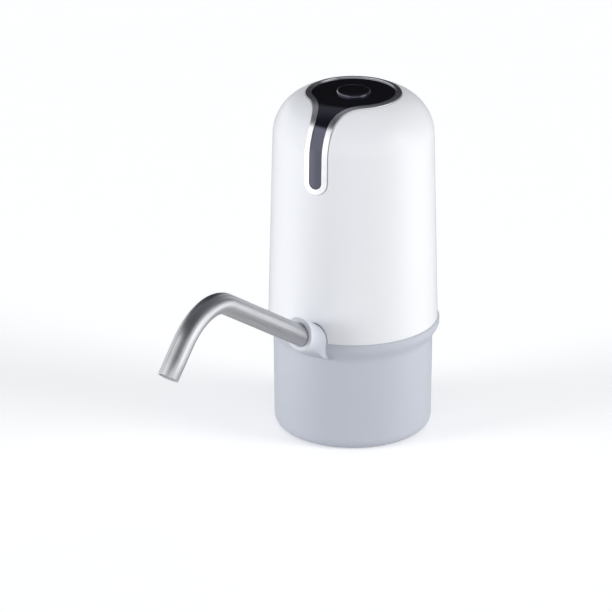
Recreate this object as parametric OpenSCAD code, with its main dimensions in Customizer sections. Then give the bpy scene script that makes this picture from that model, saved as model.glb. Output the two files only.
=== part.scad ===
// Electric pump that sits on the neck of a water jug.
// Millimetres, Z up, spout to the front at -Y, origin on the axis in the plane of the foot.

/* [Base] */
// Outside diameter of the base at its foot
base_d = 75; // [73.5:0.5:77]
// Height of the base from its foot to the top of its lip
base_h = 55.5; // [54.5:0.5:57.5]
// Growth of the base radius from foot to flare
base_draft = 0.4; // [0:0.1:0.8]
// Wall of the base
base_wall = 2.5; // [2:0.1:2.8]
// Rounding of the foot
foot_round = 5.5; // [4.5:0.5:6]
// Thickness of the lip round the upper shell
lip_t = 0.75; // [0.6:0.05:1]
// Rounding of the lip
lip_round = 1.5; // [1.2:0.1:1.8]
// Height of the sloped flare under the lip
flare_h = 7.5; // [6.5:0.5:8.5]
// Thickness of the deck that carries the pump
deck_t = 3; // [2.6:0.2:3.4]

/* [Jug socket] */
// Outside diameter of the jug neck
neck_d = 55; // [53:0.5:56]
// Gap round the jug neck
neck_gap = 0.25; // [0.1:0.05:0.4]
// Depth of the deck under the top of the lip
deck_drop = 23.5; // [23:0.5:24.5]
// Thickness of the collar flange that seals on the jug rim
collar_flange = 2.8; // [2:0.2:3.4]
// Depth of the relief in the collar above its grip
collar_relief = 0.6; // [0.3:0.1:1]
// Ribs round the collar
collar_ribs = 12; // [8:1:16]

/* [Upper shell] */
// Overall height of the body
body_h = 168; // [164:1:174]
// Outside diameter of the shell where it meets the base
shell_d = 80.8; // [79.6:0.2:82]
// Outside diameter of the shell at its shoulder
shoulder_d = 76.4; // [75.6:0.2:77.4]
// Rounding of the shoulder
dome_round = 21.4; // [19.5:0.5:23]
// Wall of the shell
shell_wall = 2.6; // [2.4:0.1:2.8]
// Thickness of the seal ring under the shell
gasket_t = 0.6; // [0.4:0.1:0.9]
// Radius of the screw posts
post_r = 3.3; // [3:0.1:3.6]
// Angle of the screw posts from the side
post_angle = 35; // [30:1:40]

/* [Top panel] */
// Radius of the trim round the panel disc
trim_r = 22.7; // [21.5:0.1:24]
// Width of the trim
trim_w = 2.7; // [2:0.1:3.2]
// Width of the tail over its trim
tail_w = 12; // [11.4:0.2:14]
// Radius of the neck between disc and tail
neck_round = 24; // [20:1:28]
// Height of the tail's lower end
tail_z = 129; // [122:0.5:136]
// How far the trim stands out of the shell
trim_proud = 0.35; // [0.1:0.05:0.5]
// How far the flat of the panel lies below the top of the dome
panel_drop = 0.45; // [0.3:0.05:0.6]
// Depth of the pocket for panel and trim
pocket_depth = 1.4; // [1.2:0.05:1.5]

/* [Button and switch] */
// Button radius
button_r = 8; // [7:0.5:9]
// Height of the button above the panel
button_rise = 1.2; // [1:0.1:1.6]
// Depth of the dish in the button
button_dish = 0.35; // [0.2:0.05:0.5]
// Travel of the button
button_travel = 0.6; // [0.4:0.1:0.7]
// Depth of the board below the top of the body
board_drop = 23.4; // [22.5:0.5:25]
// Board radius
board_r = 27.5; // [26.5:0.5:29]
// Board thickness
board_t = 1.6; // [1.2:0.2:2]

/* [Spout] */
// Outside diameter of the spout tube
spout_d = 10; // [9:0.5:10.5]
// Wall of the spout tube
spout_wall = 0.8; // [0.6:0.1:1.2]
// Tilt of the spout above level
spout_tilt = 30; // [29:0.5:31]
// Distance from the axis to the face of the spout boss
boss_reach = 54.7; // [54:0.2:56]
// Height of the spout hole above the lip
boss_rise = 8.5; // [8:0.1:9]
// Half width of the spout boss
boss_r = 6.8; // [6.7:0.1:7.4]
// Rise of the boss outline over the spout axis
boss_up = 1; // [0.6:0.1:1.4]
// Straight length of the spout outside the boss
spout_l = 81; // [50:1:110]
// Radius of the spout bend
bend_r = 28; // [20:1:45]
// Angle of the spout bend
bend_angle = 81.5; // [60:0.5:95]
// Straight length of the spout tip
tip_l = 17.5; // [8:0.5:30]
// Turn of the spout in its socket
spout_turn = -7; // [-20:1:20]
// Length of the spout held in the socket
spout_in = 20; // [18:0.5:21]

/* [Pump] */
// Gear module
gear_m = 1; // [0.95:0.01:1.05]
// Teeth of each gear
gear_n = 12; // [12:1:13]
// Width of the gears
gear_t = 6; // [5.5:0.1:6.4]
// Pressure angle of the gears
gear_pa = 25; // [24:0.5:26]
// Backlash between the gears
backlash = 0.16; // [0.1:0.02:0.24]
// Thickness of the pad under the pump
pad_t = 2.5; // [2:0.1:3]
// Thickness of the pump cover
cover_t = 5.5; // [5:0.1:6]
// Thickness of the roof between gears and motor
roof_t = 6; // [5.5:0.5:8]
// Radius of the inlet stub
stub_r = 4; // [3.8:0.1:4.4]
// Length of the inlet stub below the deck
stub_l = 15; // [12:0.5:20]
// Outside radius of the hose fittings
nipple_r = 3.6; // [3.4:0.05:3.7]

/* [Motor] */
// Outside radius of the motor
motor_r = 12.2; // [12:0.1:12.4]
// Length of the motor can
motor_l = 27; // [25:1:32]
// Shaft radius
shaft_r = 1.15; // [1:0.05:1.25]

/* [Battery] */
// Cell radius
cell_r = 9.2; // [8.8:0.1:9.4]
// Cell length
cell_l = 65; // [50:1:75]
// Distance of the cell behind the axis
cell_y = 18; // [17.8:0.1:18.6]

/* [Clearances] */
// Gap between moulded parts that fit together
fit = 0.15; // [0.1:0.01:0.2]
// Running gap round a moving part
run = 0.05; // [0.03:0.01:0.08]
// Gap between parts that seat on each other
seat = 0.05; // [0.02:0.01:0.08]
// Gap round the spout boss
boss_gap = 0.35; // [0.25:0.05:0.6]
// Gap between the upper shell and the lip
lip_gap = 0.06; // [0.04:0.01:0.15]
// Gap of the gears in their pockets
gear_gap = 0.1; // [0.06:0.01:0.14]

/* [Hidden] */
$fn = 64;
// Overlap that lets a cut pass right through
over = 1;
// Overlap that joins the panel neck to its disc and tail
join = 0.02;

// Base section
base_r = base_d / 2;
wall_r = base_r + base_draft;
base_in = base_r - base_wall;
shell_r = shell_d / 2;
seat_r = shell_r + lip_gap;
lip_r = seat_r + lip_t;
lip_c = [lip_r - lip_round, base_h - 0.9 * lip_round];
z_flare = base_h - flare_h;
seat_depth = 1.5;
z_seat = base_h - seat_depth;
spigot_r = shell_r - shell_wall;
z_deck = base_h - deck_drop;
z_floor = z_deck + deck_t;
curl_t = 2.5;
foot_in = base_r - foot_round - 1.5;
neck_r = neck_d / 2 + neck_gap;

// Upper shell section: a tapered wall that runs into the shoulder arc
z_shell = z_seat + gasket_t;
dome_c = [shoulder_d / 2 - dome_round, body_h - dome_round];
taper = tangent_at([shell_r, z_shell], dome_c, dome_round);
post_at = base_in - post_r - 0.8;
screw_r = 1.25;
screw_head_r = 2.4;
screw_head_h = 1.6;
post_top = z_shell + 20;

// Top panel
panel_gap = 0.08;
z_flat = body_h - panel_drop;
z_pocket = body_h - pocket_depth;
z_neck = body_h - 0.6 * dome_round;
button_hole = button_r + fit;
flange_r = button_r + 1.1;
flange_t = 1.2;
flange_top = z_pocket - seat;
flange_hole = flange_r + 0.4;
button_top = z_flat + button_rise;
button_bevel = 0.9;

// Board, switch and charging socket
z_board = body_h - board_drop;
z_board_under = z_board - board_t;
board_post_r = 2.6;
board_post_at = 21;
board_screw_r = 1;
board_screw_head = 1.9;
switch_w = 6;
switch_h = 3.5;
switch_bore = 2;
plunger_r = 1.75;
plunger_rise = 1.5;
plunger_top = z_board + switch_h + plunger_rise;
port_w = 9;
port_h = 3.2;
port_l = 7.4;
port_wall = 0.4;
port_z = z_board + port_h / 2;
port_end = shell_edge(shell_wall, port_z + port_h / 2 + 1) - 0.6;
port_edge = 0.6;

// Spout and its socket
spout_r = spout_d / 2;
spout_bore = spout_r - spout_wall;
bend_draw = 0.02;
socket_r = spout_r + run;
hole_r = spout_r + 0.45;
boss_z = base_h + boss_rise;
socket_len = 27;
nipple_len = 4.5;
duct_r = 2.4;
seal_cord = 0.5;
seal_at = [9, 14];
mouth_in = 5.4;

// Gear pump
gear_d = gear_m * gear_n;
gear_x = gear_d / 2;
gear_y = -gear_x;
tip_r = gear_m * (gear_n / 2 + 0.9);
root_r = gear_m * (gear_n / 2 - 1.15);
pocket_r = tip_r + gear_gap;
pump_wall = 2.5;
pump_r = pocket_r + pump_wall;
pump_front = gear_y - pump_r;
z_cover = z_floor + pad_t;
z_joint = z_cover + cover_t;
gasket_pump = 0.5;
z_gear = z_joint + gasket_pump;
gear_room = gear_t + 2 * gear_gap;
z_roof = z_gear + gear_room;
z_motor = z_roof + roof_t;
z_out = z_gear + gear_room / 2;
port_r = 2.6;
pin_r = 1.5;
pin_in = 3;
pump_screw_at = [gear_x + 8.5, 8];
pump_boss_r = 2.8;
motor_screw_r = 1;
motor_screw_at = 9.6;
motor_screw_angle = 75;
motor_boss_r = 2.6;
seal_r = 4;
seal_t = 3;
cup_wall = 1.2;
cup_h = 2;
nut_t = 4;
nut_r = 9;
thread_r = stub_r + 1;
shoulder_r = 6;

// Motor and rotor
motor_at = [-gear_x, gear_y, 0];
can_wall = 0.9;
can_in = motor_r - can_wall;
face_t = 1.2;
bush_r = 3;
bush_l = 4;
cap_t = 4;
z_cap = z_motor + motor_l;
z_cap_top = z_cap + cap_t;
core_r = motor_r - 3.1;
core_l = 0.48 * motor_l;
z_core = z_motor + 0.22 * motor_l;
coil_over = 2;
web_w = 3;
hub_r = 3.4;
shoe_in = core_r - 1.9;
comm_r = 2.8;
comm_l = 3.6;
z_comm = z_cap - comm_l - 0.6;
terminal_x = 7;
terminal_h = 4.5;

// Battery and its cradle
cell_at = [0, cell_y, 0];
cradle_wall = 1.5;
cradle_in = cell_r + fit;
cradle_r = cradle_in + cradle_wall;
cradle_floor = 2;
cradle_open = 110;
cradle_turn = -40;
tab_t = 0.25;
z_cell = z_floor + cradle_floor + tab_t;
z_cell_top = z_cell + cell_l;
lug_x = cradle_r + 4;
lug_t = 1.6;
cradle_screw = 1;
lead_r = 0.75;

// Hose from the pump to the spout socket
hose_in = nipple_r + seat;
hose_r = nipple_r + 1.8;
hose_bend = 9;
corner_s = (boss_z - z_out) / sin(spout_tilt);
corner_y = -boss_reach + corner_s * cos(spout_tilt);
bend_run = hose_bend * tan(spout_tilt / 2);
hose_y = corner_y + bend_run;
hose_start = pump_front - 0.4;
hose_end_l = corner_s - bend_run - socket_len - 0.3;
pump_nipple = 5.5;
clip_t = 0.8;
clip_w = 3;

grey = [0.76, 0.78, 0.83];
white = [0.96, 0.96, 0.97];
black = [0.03, 0.03, 0.035];
steel = [0.72, 0.73, 0.75];
satin = [0.66, 0.66, 0.69];
rubber = [0.14, 0.14, 0.15];
silicone = [0.85, 0.86, 0.86];
brass = [0.78, 0.62, 0.32];
copper = [0.72, 0.42, 0.24];
fibre = [0.1, 0.36, 0.2];
wrap = [0.18, 0.4, 0.66];
resin = [0.2, 0.21, 0.23];

// Angle on a circle where the line from a point below runs in
function tangent_at(p, c, r) = atan2(p[1] - c[1], p[0] - c[0]) + acos(r / norm(p - c));
function on_circle(c, r, a) = c + r * [cos(a), sin(a)];
// Radius of the shell at a height, a given depth under its surface
function shell_edge(o, z) = dome_c[0] + (dome_round - o - (z - dome_c[1]) * sin(taper)) / cos(taper);
// Radius of the shoulder at a height above its centre, a given depth under its surface
function dome_edge(o, z) = dome_c[0] + sqrt(pow(dome_round - o, 2) - pow(z - dome_c[1], 2));
// Point of an involute at a roll angle in degrees
function involute(rb, t) = rb * [cos(t) + t * PI / 180 * sin(t), sin(t) - t * PI / 180 * cos(t)];
function turn2(p, a) = [p[0] * cos(a) - p[1] * sin(a), p[0] * sin(a) + p[1] * cos(a)];
function bezier(a, b, c, d, t) =
    pow(1 - t, 3) * a + 3 * t * pow(1 - t, 2) * b + 3 * t * t * (1 - t) * c + t * t * t * d;

module ring_2d(outer, inner) {
    difference() {
        circle(r = outer);
        circle(r = inner);
    }
}

module tube(outer, inner, h) {
    linear_extrude(height = h) ring_2d(outer, inner);
}

// Screw with its head below z = 0 and its shank above
module screw(shank, head, head_h, length) {
    translate([0, 0, -head_h]) cylinder(r = head, h = head_h);
    translate([0, 0, -0.5 * head_h]) cylinder(r = shank, h = length + 0.5 * head_h);
}

// Cross slot that is cut in a screw head
module drive_slot(head, head_h) {
    for (a = [0, 90])
        rotate([0, 0, a]) translate([-0.6 * head, -0.2 * head, -head_h - over])
            cube([1.2 * head, 0.4 * head, over + 0.45 * head_h]);
}

// Frame on the spout axis: Z runs out of the boss, Y points up
module along_spout() {
    translate([0, -boss_reach, boss_z]) rotate([90 - spout_tilt, 0, 0]) children();
}

module at_posts() {
    for (s = [-1, 1], t = [-1, 1])
        translate([s * post_at * cos(post_angle), t * post_at * sin(post_angle), 0]) children();
}

module at_board_posts() {
    for (a = [30, 150, 270])
        translate([board_post_at * cos(a), board_post_at * sin(a), 0]) children();
}

// Outline of the spout boss, a circle drawn up from the spout axis
module boss_2d(gap) {
    translate([0, boss_up]) circle(r = boss_r + gap);
    translate([-boss_r - gap, 0]) square([2 * (boss_r + gap), boss_up]);
    circle(r = boss_r + gap);
}

module base_outer_2d() {
    t = tangent_at([wall_r, z_flare], lip_c, lip_round);
    polygon([[0, 0], [base_r - foot_round, 0], [base_r, foot_round], [wall_r, z_flare],
        on_circle(lip_c, lip_round, t), [lip_c[0], base_h], [0, base_h]]);
    translate([base_r - foot_round, foot_round]) circle(r = foot_round);
    intersection() {
        translate(lip_c) circle(r = lip_round);
        square([lip_r + over, base_h]);
    }
}

module base_room_2d() {
    polygon([[0, z_floor], [base_in, z_floor], [base_in, z_flare - 1], [spigot_r + fit, z_seat - 3],
        [spigot_r + fit, z_seat], [seat_r, z_seat], [seat_r, base_h + over], [0, base_h + over]]);
    polygon([[0, -over], [foot_in, -over], [foot_in, curl_t], [base_in - curl_t, curl_t],
        [base_in, 2 * curl_t], [base_in, z_deck], [0, z_deck]]);
}

module boss_body() {
    difference() {
        along_spout() translate([0, 0, -socket_len]) linear_extrude(height = socket_len + boss_r) boss_2d(0);
        translate([-2 * boss_r, -boss_reach - 4 * boss_r, base_h - 4 * boss_r])
            cube([4 * boss_r, 4 * boss_r, 8 * boss_r]);
    }
}

module base_shell() {
    color(grey)
    difference() {
        union() {
            rotate_extrude() difference() {
                base_outer_2d();
                base_room_2d();
            }
            boss_body();
            along_spout() translate([0, 0, -socket_len - nipple_len])
                cylinder(r = nipple_r, h = nipple_len + over);
        }
        along_spout() {
            translate([0, 0, -spout_in - seat]) cylinder(r = socket_r, h = spout_in + 2 * boss_r);
            translate([0, 0, -mouth_in]) cylinder(r = hole_r, h = mouth_in + 2 * boss_r);
            translate([0, 0, -socket_len - nipple_len - over])
                cylinder(r = duct_r, h = socket_len + nipple_len - spout_in + 2 * over);
            for (s = seal_at)
                translate([0, 0, -s - seal_cord - seat])
                    cylinder(r = socket_r + 2 * seal_cord + run, h = 2 * (seal_cord + seat));
        }
        translate([0, 0, z_deck - over]) cylinder(r = thread_r + fit, h = deck_t + 2 * over);
        at_posts() {
            translate([0, 0, z_deck - over]) cylinder(r = screw_r + fit, h = deck_t + 2 * over);
            translate([0, 0, z_deck - over]) cylinder(r = screw_head_r + fit, h = screw_head_h + seat + over);
        }
        for (s = [-1, 1])
            translate([s * lug_x, cell_y, z_floor - 0.75 * deck_t])
                cylinder(r = cradle_screw + seat, h = deck_t);
    }
}

module jug_collar() {
    rib = 5;
    step = 360 / collar_ribs;
    outer = base_in - fit;
    top = z_deck - seat;
    grip_top = z_deck - stub_l - 0.5;
    color(silicone)
    difference() {
        rotate_extrude() polygon([[neck_r + 1.8, curl_t + seat], [base_in - curl_t - fit, curl_t + seat],
            [outer, 2 * curl_t + seat], [outer, top], [neck_r - 7, top], [neck_r - 7, top - collar_flange],
            [neck_r + collar_relief, top - collar_flange], [neck_r + collar_relief, grip_top + collar_relief],
            [neck_r, grip_top], [neck_r, curl_t + seat + 2]]);
        for (i = [0 : collar_ribs - 1])
            rotate([0, 0, i * step + rib / 2]) rotate_extrude(angle = step - rib)
                translate([neck_r + 2, 0]) square([outer - neck_r - 3.6, top - collar_flange - 1]);
    }
}

module shell_gasket() {
    color(rubber)
    difference() {
        translate([0, 0, z_seat]) tube(seat_r - 0.4, spigot_r + fit + 0.3, gasket_t);
        along_spout() translate([0, 0, -socket_len]) linear_extrude(height = 2 * socket_len) boss_2d(boss_gap);
    }
}

// Filled section of the shell at a depth under its outer surface
module dome_2d(o, z) {
    polygon([[0, z], [shell_edge(o, z), z], on_circle(dome_c, dome_round - o, taper),
        [dome_c[0], body_h - o], [0, body_h - o]]);
    intersection() {
        translate(dome_c) circle(r = dome_round - o);
        translate([0, dome_c[1]]) square([dome_c[0] + 2 * dome_round, 2 * dome_round]);
    }
}

// Layer of the dome between two depths under its outer surface
module dome_layer(top, bottom, z) {
    rotate_extrude() difference() {
        dome_2d(top, z);
        dome_2d(bottom, z - over);
    }
}

// Drop outline of the panel from above, inset by a given width
module panel_plan(inset) {
    r = trim_r - inset;
    w = tail_w / 2 - inset;
    f = neck_round + inset;
    cx = w + f;
    cy = -sqrt(pow(r + f, 2) - cx * cx);
    circle(r = r);
    translate([-w, -2 * shell_r]) square([2 * w, 2 * shell_r]);
    difference() {
        polygon([[0, 0], [-cx, cy], [cx, cy]]);
        for (s = [-1, 1])
            translate([s * cx, cy]) circle(r = f - join);
    }
}

// Tail outline from the front, inset by a given width
module tail_front(inset) {
    w = tail_w / 2 - inset;
    translate([0, tail_z + tail_w / 2]) circle(r = w);
    translate([-w, tail_z + tail_w / 2]) square([2 * w, z_neck - tail_z]);
    translate([-2 * trim_r, z_neck]) square([4 * trim_r, body_h]);
}

module panel_zone(inset) {
    intersection() {
        translate([0, 0, tail_z - over]) linear_extrude(height = body_h) panel_plan(inset);
        translate([0, shell_r, 0]) rotate([90, 0, 0]) linear_extrude(height = 3 * shell_r) tail_front(inset);
    }
}

module shell_section_2d() {
    difference() {
        dome_2d(0, z_shell);
        dome_2d(shell_wall, z_shell - over);
    }
    translate([spigot_r - 1.6, z_seat - 2.4]) square([1.6, gasket_t + 6.4]);
    translate([spigot_r - 1.6, z_shell]) square([2.2, 4]);
}

module upper_shell() {
    rib_x = post_at + 0.5 * post_r;
    color(white)
    difference() {
        union() {
            rotate_extrude() shell_section_2d();
            at_posts() translate([0, 0, z_floor + seat]) cylinder(r = post_r, h = post_top - z_floor);
            for (a = [post_angle, 180 - post_angle, 180 + post_angle, -post_angle])
                rotate([0, 0, a]) translate([rib_x, -1, z_shell + 1])
                    cube([shell_edge(shell_wall, post_top) + 0.8 - rib_x, 2, post_top - z_shell - 2]);
            at_board_posts() translate([0, 0, z_board])
                cylinder(r = board_post_r, h = board_drop - shell_wall - 0.2);
        }
        along_spout() translate([0, 0, -socket_len - 2 * boss_r])
            linear_extrude(height = 2 * socket_len + 2 * boss_r) boss_2d(boss_gap);
        intersection() {
            dome_layer(-2, pocket_depth, tail_z - 2);
            panel_zone(-fit);
        }
        translate([0, 0, body_h - 2 * shell_wall]) cylinder(r = flange_hole, h = 3 * shell_wall);
        at_posts() translate([0, 0, z_floor - over]) cylinder(r = screw_r + seat, h = 15 + over);
        at_board_posts() translate([0, 0, z_board - over]) cylinder(r = board_screw_r + seat, h = 7 + over);
        port_cut();
    }
}

// Opening for the charging plug, with a shallow recess round it
module port_cut() {
    d = shell_r + over;
    translate([0, 0, port_z]) rotate([-90, 0, 0]) {
        linear_extrude(height = d) pill_2d(port_w + 1.2, port_h + 1.2);
        translate([0, 0, shell_edge(1, port_z)]) linear_extrude(height = d) pill_2d(port_w + 4.4, port_h + 4.4);
    }
}

module pill_2d(w, h) {
    for (s = [-1, 1])
        translate([s * (w - h) / 2, 0]) circle(r = h / 2);
    square([w - h, h], center = true);
}

module shell_screws() {
    color(steel)
    at_posts() translate([0, 0, z_deck + screw_head_h + seat / 2]) difference() {
        screw(screw_r, screw_head_r, screw_head_h, 13);
        drive_slot(screw_head_r, screw_head_h);
    }
}

module panel_trim() {
    color(satin)
    difference() {
        intersection() {
            dome_layer(-trim_proud, pocket_depth - seat, tail_z - 2);
            panel_zone(0);
        }
        panel_zone(trim_w);
    }
}

module top_panel() {
    inset = trim_w + panel_gap;
    color(black)
    difference() {
        intersection() {
            dome_layer(0, pocket_depth - seat, tail_z - 2);
            panel_zone(inset);
        }
        translate([-2 * trim_r, -2 * trim_r, z_flat]) cube(4 * trim_r);
        translate([0, 0, z_pocket - over]) cylinder(r = button_hole, h = 4 * over);
    }
}

module button_cap() {
    dish_r = (pow(button_r - button_bevel - 0.5, 2) + pow(button_dish, 2)) / (2 * button_dish);
    color(black)
    difference() {
        union() {
            translate([0, 0, flange_top - flange_t]) cylinder(r = flange_r, h = flange_t);
            translate([0, 0, flange_top - flange_t])
                cylinder(r = button_r, h = button_top - button_bevel - flange_top + flange_t);
            translate([0, 0, button_top - button_bevel])
                cylinder(r1 = button_r, r2 = button_r - button_bevel, h = button_bevel);
            translate([0, 0, plunger_top + seat]) cylinder(r = 2.4, h = flange_top - plunger_top - seat);
        }
        translate([0, 0, button_top + dish_r - button_dish]) sphere(r = dish_r, $fn = 160);
    }
}

module main_board() {
    color(fibre)
    translate([0, 0, z_board_under])
    difference() {
        union() {
            cylinder(r = board_r, h = board_t);
            translate([-port_w / 2 - 2.5, 0, 0]) cube([port_w + 5, port_end - port_edge, board_t]);
        }
        at_board_posts() translate([0, 0, -over]) cylinder(r = board_screw_r + fit, h = board_t + 2 * over);
    }
}

module board_screws() {
    color(steel)
    at_board_posts() translate([0, 0, z_board_under]) difference() {
        screw(board_screw_r, board_screw_head, 1.4, board_t + 6);
        drive_slot(board_screw_head, 1.4);
    }
}

module switch_body() {
    color(resin)
    translate([0, 0, z_board])
    difference() {
        translate([-switch_w / 2, -switch_w / 2, 0]) cube([switch_w, switch_w, switch_h]);
        translate([0, 0, switch_h - switch_bore]) cylinder(r = plunger_r + run, h = switch_bore + over);
    }
}

module switch_plunger() {
    color(black)
    translate([0, 0, z_board + switch_h - switch_bore + button_travel + 0.2])
        cylinder(r = plunger_r, h = plunger_rise + switch_bore - button_travel - 0.2);
}

module board_parts() {
    color(resin) {
        translate([-16, -9, z_board]) cube([6, 6, 1.2]);
        translate([8, -2, z_board]) cube([6.5, 6.5, 3.2]);
        translate([-15, 2, z_board]) cube([5, 4, 1]);
        translate([6, -20, z_board]) cube([7, 3, 4.5]);
        translate([-8, 14, z_board]) cylinder(r = 2.5, h = 6);
    }
}

module status_lamp() {
    color([0.75, 0.85, 1])
    translate([14, -10, z_board]) {
        cylinder(r = 1.9, h = 1);
        cylinder(r = 1.5, h = 3);
        translate([0, 0, 3]) sphere(r = 1.5);
    }
}

module charge_socket() {
    color(steel)
    translate([0, port_end, port_z]) rotate([90, 0, 0])
    difference() {
        linear_extrude(height = port_l) pill_2d(port_w, port_h);
        translate([0, 0, -over]) linear_extrude(height = port_l - 1 + over) difference() {
            pill_2d(port_w - 2 * port_wall, port_h - 2 * port_wall);
            square([port_w - 2.2, 0.7], center = true);
        }
    }
}

module battery_cell() {
    cap_h = 1;
    color(wrap)
    translate(cell_at) {
        translate([0, 0, z_cell]) cylinder(r = cell_r, h = cell_l - cap_h);
        translate([0, 0, z_cell]) cylinder(r = 0.45 * cell_r, h = cell_l);
    }
}

module battery_cradle() {
    h = 0.85 * cell_l;
    reach = 2 * cradle_r;
    spread = reach * tan(cradle_open / 2);
    color(resin)
    translate(cell_at)
    difference() {
        translate([0, 0, z_floor]) {
            cylinder(r = cradle_r, h = h);
            translate([0, 0, lug_t / 2]) cube([2 * lug_x + 8, 8, lug_t], center = true);
        }
        translate([0, 0, z_floor + cradle_floor]) {
            cylinder(r = cradle_in, h = h);
            rotate([0, 0, cradle_turn]) linear_extrude(height = h)
                polygon([[0, 0], [reach, -spread], [reach, spread]]);
        }
        for (s = [-1, 1])
            translate([s * lug_x, 0, z_floor - over]) cylinder(r = cradle_screw + fit, h = lug_t + 2 * over);
    }
}

module cradle_screws() {
    color(steel)
    for (s = [-1, 1])
        translate([s * lug_x, cell_y, z_floor + lug_t]) rotate([180, 0, 0]) difference() {
            screw(cradle_screw, 1.9, 1.4, lug_t + 0.7 * deck_t);
            drive_slot(1.9, 1.4);
        }
}

module battery_tabs() {
    color(steel)
    translate(cell_at) {
        translate([0, 0, z_cell - tab_t]) rotate([0, 0, cradle_turn])
            translate([-4, -3, 0]) cube([cradle_r + 6, 6, tab_t]);
        translate([0, 0, z_cell_top]) rotate([0, 0, cradle_turn]) translate([-4, -3, 0]) cube([12, 6, tab_t]);
    }
}

// Round lead that leaves one point upwards and meets another from below
module lead(a, b) {
    n = 16;
    m = 10;
    k = [0, 0, 0.4 * (b[2] - a[2])];
    path = [for (i = [0 : n]) bezier(a, a + k, b - k, b, i / n)];
    points = [for (p = path) for (j = [0 : m - 1]) p + lead_r * [cos(360 * j / m), sin(360 * j / m), 0]];
    sides = [for (i = [0 : n - 1]) for (j = [0 : m - 1])
        [i * m + j, (i + 1) * m + j, (i + 1) * m + (j + 1) % m, i * m + (j + 1) % m]];
    bottom = [for (j = [0 : m - 1]) j];
    top = [for (j = [m - 1 : -1 : 0]) n * m + j];
    polyhedron(points = points, faces = concat(sides, [bottom, top]), convexity = 4);
}

module battery_leads() {
    x1 = (cradle_r + 1) * cos(cradle_turn);
    y1 = cell_y + (cradle_r + 1) * sin(cradle_turn);
    x2 = 5 * cos(cradle_turn);
    y2 = cell_y + 5 * sin(cradle_turn);
    color([0.7, 0.08, 0.06])
    {
        lead([x1, y1, z_cell], [x1 - 1, y1 - 4, z_board_under]);
        lead([x2, y2, z_cell_top + tab_t], [x2, y2 - 6, z_board_under]);
    }
}

module motor_can() {
    color(steel)
    translate(motor_at)
    difference() {
        translate([0, 0, z_motor]) cylinder(r = motor_r, h = motor_l);
        translate([0, 0, z_motor + face_t]) cylinder(r = can_in, h = motor_l);
        translate([0, 0, z_motor - over]) cylinder(r = bush_r + seat, h = face_t + 2 * over);
        for (s = [0, 180])
            rotate([0, 0, motor_screw_angle + s]) translate([motor_screw_at, 0, z_motor - over])
                cylinder(r = motor_screw_r + seat, h = face_t + 2 * over);
    }
}

module motor_cap() {
    color(resin)
    translate(motor_at)
    difference() {
        union() {
            translate([0, 0, z_cap]) cylinder(r = motor_r, h = cap_t);
            translate([0, 0, z_cap - 1.5]) tube(can_in - seat, can_in - 1.6, 2);
        }
        translate([0, 0, z_cap - over]) cylinder(r = bush_r + seat, h = cap_t + 2 * over);
    }
}

module motor_magnets() {
    color(rubber)
    translate(motor_at) translate([0, 0, z_core - 1])
    for (a = [25, 205])
        rotate([0, 0, a]) rotate_extrude(angle = 130)
            translate([core_r + 0.45, 0]) square([can_in - seat - core_r - 0.45, core_l + 2]);
}

module motor_bushes() {
    color(brass)
    translate(motor_at) {
        translate([0, 0, z_motor]) tube(bush_r, shaft_r + run, bush_l);
        translate([0, 0, z_cap]) tube(bush_r, shaft_r + run, cap_t);
    }
}

module motor_brushes() {
    color(rubber)
    translate(motor_at)
    for (s = [0, 180])
        rotate([0, 0, s]) translate([comm_r + run, -1.2, z_comm + 0.4]) cube([3.2, 2.4, z_cap - z_comm - 0.4]);
}

module motor_terminals() {
    color(brass)
    translate(motor_at)
    for (s = [-1, 1])
        translate([s * terminal_x - 1.4, -0.3, z_cap_top]) cube([2.8, 0.6, terminal_h]);
}

module motor_leads() {
    color([0.1, 0.1, 0.11])
    for (s = [-1, 1])
        lead(motor_at + [s * terminal_x, 0, z_cap_top + terminal_h], [motor_at[0] + 1.2 * s * terminal_x,
            motor_at[1] + 2, z_board_under]);
}

module motor_shaft() {
    color(steel)
    translate(motor_at) translate([0, 0, z_gear + gear_gap]) cylinder(r = shaft_r, h = z_cap_top + 1.5 - z_gear);
}

module web_2d(w, r) {
    for (a = [0, 120, 240])
        rotate(a) translate([0, -w / 2]) square([r, w]);
}

module armature_core() {
    color(satin)
    translate(motor_at) translate([0, 0, z_core]) linear_extrude(height = core_l) difference() {
        union() {
            circle(r = hub_r);
            web_2d(web_w, shoe_in + 0.6);
            intersection() {
                ring_2d(core_r, shoe_in);
                for (a = [0, 120, 240])
                    rotate(a) polygon([[0, 0], [2 * core_r * cos(50), 2 * core_r * sin(50)], [3 * core_r, 0],
                        [2 * core_r * cos(50), -2 * core_r * sin(50)]]);
            }
        }
        circle(r = shaft_r + 0.02);
    }
}

module armature_windings() {
    color(copper)
    translate(motor_at) translate([0, 0, z_core - coil_over]) linear_extrude(height = core_l + 2 * coil_over)
    difference() {
        ring_2d(shoe_in - 0.15, hub_r + 0.1);
        web_2d(web_w + 0.2, 2 * core_r);
    }
}

module commutator() {
    color(copper)
    translate(motor_at) translate([0, 0, z_comm]) difference() {
        tube(comm_r, shaft_r + 0.02, comm_l);
        for (a = [0, 120, 240])
            rotate([0, 0, a + 60]) translate([comm_r - 0.6, -0.2, -over]) cube([2, 0.4, comm_l + 2 * over]);
    }
}

module at_motor_screws() {
    translate(motor_at)
    for (s = [0, 180])
        rotate([0, 0, motor_screw_angle + s]) translate([motor_screw_at, 0, 0]) children();
}

module motor_screws() {
    head_h = 1.4;
    color(steel)
    at_motor_screws() translate([0, 0, z_gear + head_h + seat]) difference() {
        screw(motor_screw_r, 1.9, head_h, z_motor + face_t - z_gear - head_h - seat);
        drive_slot(1.9, head_h);
    }
}

module at_pump_screws() {
    for (s = [-1, 1], t = [-1, 1])
        translate([s * pump_screw_at[0], gear_y + t * pump_screw_at[1], 0]) children();
}

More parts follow.
